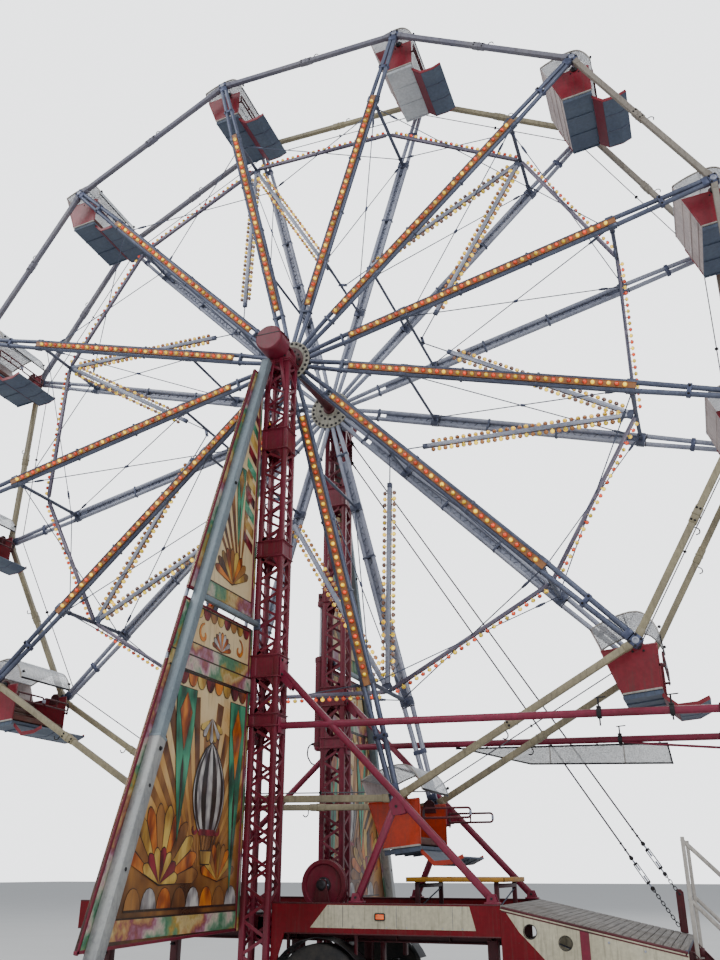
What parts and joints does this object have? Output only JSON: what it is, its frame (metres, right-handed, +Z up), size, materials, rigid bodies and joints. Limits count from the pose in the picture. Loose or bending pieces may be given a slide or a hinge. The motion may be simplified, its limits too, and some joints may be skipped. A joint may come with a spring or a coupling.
{
  "type": "ferris wheel",
  "caption": "Travelling ferris wheel on a trailer: open seats hang level between two spoked rims, held by lattice masts with side legs, booms and a gangway",
  "frame": {"origin": "on the ground at the middle of the pad under the trailer's centre jack, straight below the hub", "axes": "+X forward, the way the cars face and the gangway runs; +Y along the hub shaft, away from the viewer of the picture; +Z up"},
  "size_m": [12.1466, 8.14, 13.7193],
  "materials": {
    "galvanised": "weathered galvanised steel",
    "dark_steel": "dark grey paint with small lamps",
    "cream_paint": "chalky cream-grey paint",
    "red_paint": "weathered red paint",
    "boards": "painted sheet in fairground colours",
    "car_red": "red paint over sheet metal with a pale hood",
    "gate_red": "glossy red paint",
    "tyre": "black tyre",
    "white_paint": "off-white painted sheet and grey planks",
    "yellow_paint": "yellow painted edge, worn",
    "cable": "steel wire rope",
    "screen": "pale translucent sheet in a dark frame"
  },
  "bodies": {
    "structure": {"near_mast": "red_paint", "far_mast": "red_paint", "near_side_leg": "galvanised", "far_side_leg": "galvanised", "near_side_boards": "boards", "far_side_boards": "boards", "near_front_frame": "red_paint", "far_front_frame": "red_paint", "trailer_frame": "red_paint", "road_wheels": "tyre", "gangway": "white_paint", "loading_stage": "yellow_paint", "back_stays": "cable", "boom_screen": "screen"},
    "wheel": {"hub": "galvanised", "near_spokes": "galvanised", "far_spokes": "galvanised", "near_rim": "cream_paint", "far_rim": "cream_paint", "light_star": "dark_steel", "cross_bracing": "galvanised", "drive_cable": "cable"},
    "drive_disc": {"drive_wheel": "red_paint"},
    "car_1_body": {"car_1": "car_red"},
    "car_1_near_gate_body": {"car_1_near_gate": "gate_red"},
    "car_1_far_gate_body": {"car_1_far_gate": "gate_red"},
    "car_2_body": {"car_2": "car_red"},
    "car_2_near_gate_body": {"car_2_near_gate": "gate_red"},
    "car_2_far_gate_body": {"car_2_far_gate": "gate_red"},
    "car_3_body": {"car_3": "car_red"},
    "car_3_near_gate_body": {"car_3_near_gate": "gate_red"},
    "car_3_far_gate_body": {"car_3_far_gate": "gate_red"},
    "car_4_body": {"car_4": "car_red"},
    "car_4_near_gate_body": {"car_4_near_gate": "gate_red"},
    "car_4_far_gate_body": {"car_4_far_gate": "gate_red"},
    "car_5_body": {"car_5": "car_red"},
    "car_5_near_gate_body": {"car_5_near_gate": "gate_red"},
    "car_5_far_gate_body": {"car_5_far_gate": "gate_red"},
    "car_6_body": {"car_6": "car_red"},
    "car_6_near_gate_body": {"car_6_near_gate": "gate_red"},
    "car_6_far_gate_body": {"car_6_far_gate": "gate_red"},
    "car_7_body": {"car_7": "car_red"},
    "car_7_near_gate_body": {"car_7_near_gate": "gate_red"},
    "car_7_far_gate_body": {"car_7_far_gate": "gate_red"},
    "car_8_body": {"car_8": "car_red"},
    "car_8_near_gate_body": {"car_8_near_gate": "gate_red"},
    "car_8_far_gate_body": {"car_8_far_gate": "gate_red"},
    "car_9_body": {"car_9": "car_red"},
    "car_9_near_gate_body": {"car_9_near_gate": "gate_red"},
    "car_9_far_gate_body": {"car_9_far_gate": "gate_red"},
    "car_10_body": {"car_10": "car_red"},
    "car_10_near_gate_body": {"car_10_near_gate": "gate_red"},
    "car_10_far_gate_body": {"car_10_far_gate": "gate_red"},
    "car_11_body": {"car_11": "car_red"},
    "car_11_near_gate_body": {"car_11_near_gate": "gate_red"},
    "car_11_far_gate_body": {"car_11_far_gate": "gate_red"},
    "car_12_body": {"car_12": "car_red"},
    "car_12_near_gate_body": {"car_12_near_gate": "gate_red"},
    "car_12_far_gate_body": {"car_12_far_gate": "gate_red"}
  },
  "joints": [
    {"name": "wheel_spin", "type": "hinge", "parent": "structure", "child": "wheel", "pos_m": [0, 0, 7.83], "axis": [0, 1, 0], "continuous": true},
    {"name": "drive_disc_turn", "type": "hinge", "parent": "structure", "child": "drive_disc", "pos_m": [0.585, -0.665, 1.476], "axis": [0, 1, 0], "continuous": true},
    {"name": "car_1_swing", "type": "hinge", "parent": "wheel", "child": "car_1_body", "pos_m": [1.55774, 0, 13.31301], "axis": [0, 1, 0], "continuous": true},
    {"name": "car_1_near_gate_hinge", "type": "hinge", "parent": "car_1_body", "child": "car_1_near_gate_body", "pos_m": [1.79374, -0.513, 13.17051], "axis": [0, 0, 1], "range_deg": [-90, 0]},
    {"name": "car_1_far_gate_hinge", "type": "hinge", "parent": "car_1_body", "child": "car_1_far_gate_body", "pos_m": [1.79374, 0.513, 13.17051], "axis": [0, 0, 1], "range_deg": [0, 90]},
    {"name": "car_2_swing", "type": "hinge", "parent": "wheel", "child": "car_2_body", "pos_m": [4.09055, 0, 11.79956], "axis": [0, 1, 0], "continuous": true},
    {"name": "car_2_near_gate_hinge", "type": "hinge", "parent": "car_2_body", "child": "car_2_near_gate_body", "pos_m": [4.32655, -0.513, 11.65706], "axis": [0, 0, 1], "range_deg": [-90, 0]},
    {"name": "car_2_far_gate_hinge", "type": "hinge", "parent": "car_2_body", "child": "car_2_far_gate_body", "pos_m": [4.32655, 0.513, 11.65706], "axis": [0, 0, 1], "range_deg": [0, 90]},
    {"name": "car_3_swing", "type": "hinge", "parent": "wheel", "child": "car_3_body", "pos_m": [5.5273, 0, 9.22246], "axis": [0, 1, 0], "continuous": true},
    {"name": "car_3_near_gate_hinge", "type": "hinge", "parent": "car_3_body", "child": "car_3_near_gate_body", "pos_m": [5.7633, -0.513, 9.07996], "axis": [0, 0, 1], "range_deg": [-90, 0]},
    {"name": "car_3_far_gate_hinge", "type": "hinge", "parent": "car_3_body", "child": "car_3_far_gate_body", "pos_m": [5.7633, 0.513, 9.07996], "axis": [0, 0, 1], "range_deg": [0, 90]},
    {"name": "car_4_swing", "type": "hinge", "parent": "wheel", "child": "car_4_body", "pos_m": [5.48301, 0, 6.27226], "axis": [0, 1, 0], "continuous": true},
    {"name": "car_4_near_gate_hinge", "type": "hinge", "parent": "car_4_body", "child": "car_4_near_gate_body", "pos_m": [5.71901, -0.513, 6.12976], "axis": [0, 0, 1], "range_deg": [-90, 0]},
    {"name": "car_4_far_gate_hinge", "type": "hinge", "parent": "car_4_body", "child": "car_4_far_gate_body", "pos_m": [5.71901, 0.513, 6.12976], "axis": [0, 0, 1], "range_deg": [0, 90]},
    {"name": "car_5_swing", "type": "hinge", "parent": "wheel", "child": "car_5_body", "pos_m": [3.96956, 0, 3.73945], "axis": [0, 1, 0], "continuous": true},
    {"name": "car_5_near_gate_hinge", "type": "hinge", "parent": "car_5_body", "child": "car_5_near_gate_body", "pos_m": [4.20556, -0.513, 3.59695], "axis": [0, 0, 1], "range_deg": [-90, 0]},
    {"name": "car_5_far_gate_hinge", "type": "hinge", "parent": "car_5_body", "child": "car_5_far_gate_body", "pos_m": [4.20556, 0.513, 3.59695], "axis": [0, 0, 1], "range_deg": [0, 90]},
    {"name": "car_6_swing", "type": "hinge", "parent": "wheel", "child": "car_6_body", "pos_m": [1.39246, 0, 2.3027], "axis": [0, 1, 0], "continuous": true},
    {"name": "car_6_near_gate_hinge", "type": "hinge", "parent": "car_6_body", "child": "car_6_near_gate_body", "pos_m": [1.62846, -0.513, 2.1602], "axis": [0, 0, 1], "range_deg": [0, 90]},
    {"name": "car_6_far_gate_hinge", "type": "hinge", "parent": "car_6_body", "child": "car_6_far_gate_body", "pos_m": [1.62846, 0.513, 2.1602], "axis": [0, 0, 1], "range_deg": [-90, 0]},
    {"name": "car_7_swing", "type": "hinge", "parent": "wheel", "child": "car_7_body", "pos_m": [-1.55774, 0, 2.34699], "axis": [0, 1, 0], "continuous": true},
    {"name": "car_7_near_gate_hinge", "type": "hinge", "parent": "car_7_body", "child": "car_7_near_gate_body", "pos_m": [-1.32174, -0.513, 2.20449], "axis": [0, 0, 1], "range_deg": [-90, 0]},
    {"name": "car_7_far_gate_hinge", "type": "hinge", "parent": "car_7_body", "child": "car_7_far_gate_body", "pos_m": [-1.32174, 0.513, 2.20449], "axis": [0, 0, 1], "range_deg": [0, 90]},
    {"name": "car_8_swing", "type": "hinge", "parent": "wheel", "child": "car_8_body", "pos_m": [-4.09055, 0, 3.86044], "axis": [0, 1, 0], "continuous": true},
    {"name": "car_8_near_gate_hinge", "type": "hinge", "parent": "car_8_body", "child": "car_8_near_gate_body", "pos_m": [-3.85455, -0.513, 3.71794], "axis": [0, 0, 1], "range_deg": [-90, 0]},
    {"name": "car_8_far_gate_hinge", "type": "hinge", "parent": "car_8_body", "child": "car_8_far_gate_body", "pos_m": [-3.85455, 0.513, 3.71794], "axis": [0, 0, 1], "range_deg": [0, 90]},
    {"name": "car_9_swing", "type": "hinge", "parent": "wheel", "child": "car_9_body", "pos_m": [-5.5273, 0, 6.43754], "axis": [0, 1, 0], "continuous": true},
    {"name": "car_9_near_gate_hinge", "type": "hinge", "parent": "car_9_body", "child": "car_9_near_gate_body", "pos_m": [-5.2913, -0.513, 6.29504], "axis": [0, 0, 1], "range_deg": [-90, 0]},
    {"name": "car_9_far_gate_hinge", "type": "hinge", "parent": "car_9_body", "child": "car_9_far_gate_body", "pos_m": [-5.2913, 0.513, 6.29504], "axis": [0, 0, 1], "range_deg": [0, 90]},
    {"name": "car_10_swing", "type": "hinge", "parent": "wheel", "child": "car_10_body", "pos_m": [-5.48301, 0, 9.38774], "axis": [0, 1, 0], "continuous": true},
    {"name": "car_10_near_gate_hinge", "type": "hinge", "parent": "car_10_body", "child": "car_10_near_gate_body", "pos_m": [-5.24701, -0.513, 9.24524], "axis": [0, 0, 1], "range_deg": [-90, 0]},
    {"name": "car_10_far_gate_hinge", "type": "hinge", "parent": "car_10_body", "child": "car_10_far_gate_body", "pos_m": [-5.24701, 0.513, 9.24524], "axis": [0, 0, 1], "range_deg": [0, 90]},
    {"name": "car_11_swing", "type": "hinge", "parent": "wheel", "child": "car_11_body", "pos_m": [-3.96956, 0, 11.92055], "axis": [0, 1, 0], "continuous": true},
    {"name": "car_11_near_gate_hinge", "type": "hinge", "parent": "car_11_body", "child": "car_11_near_gate_body", "pos_m": [-3.73356, -0.513, 11.77805], "axis": [0, 0, 1], "range_deg": [-90, 0]},
    {"name": "car_11_far_gate_hinge", "type": "hinge", "parent": "car_11_body", "child": "car_11_far_gate_body", "pos_m": [-3.73356, 0.513, 11.77805], "axis": [0, 0, 1], "range_deg": [0, 90]},
    {"name": "car_12_swing", "type": "hinge", "parent": "wheel", "child": "car_12_body", "pos_m": [-1.39246, 0, 13.3573], "axis": [0, 1, 0], "continuous": true},
    {"name": "car_12_near_gate_hinge", "type": "hinge", "parent": "car_12_body", "child": "car_12_near_gate_body", "pos_m": [-1.15646, -0.513, 13.2148], "axis": [0, 0, 1], "range_deg": [-90, 0]},
    {"name": "car_12_far_gate_hinge", "type": "hinge", "parent": "car_12_body", "child": "car_12_far_gate_body", "pos_m": [-1.15646, 0.513, 13.2148], "axis": [0, 0, 1], "range_deg": [0, 90]}
  ],
  "couplings": [
    {"joint": "car_1_swing", "follows": "wheel_spin", "ratio": -1},
    {"joint": "car_2_swing", "follows": "wheel_spin", "ratio": -1},
    {"joint": "car_3_swing", "follows": "wheel_spin", "ratio": -1},
    {"joint": "car_4_swing", "follows": "wheel_spin", "ratio": -1},
    {"joint": "car_5_swing", "follows": "wheel_spin", "ratio": -1},
    {"joint": "car_6_swing", "follows": "wheel_spin", "ratio": -1},
    {"joint": "car_7_swing", "follows": "wheel_spin", "ratio": -1},
    {"joint": "car_8_swing", "follows": "wheel_spin", "ratio": -1},
    {"joint": "car_9_swing", "follows": "wheel_spin", "ratio": -1},
    {"joint": "car_10_swing", "follows": "wheel_spin", "ratio": -1},
    {"joint": "car_11_swing", "follows": "wheel_spin", "ratio": -1},
    {"joint": "car_12_swing", "follows": "wheel_spin", "ratio": -1}
  ]
}
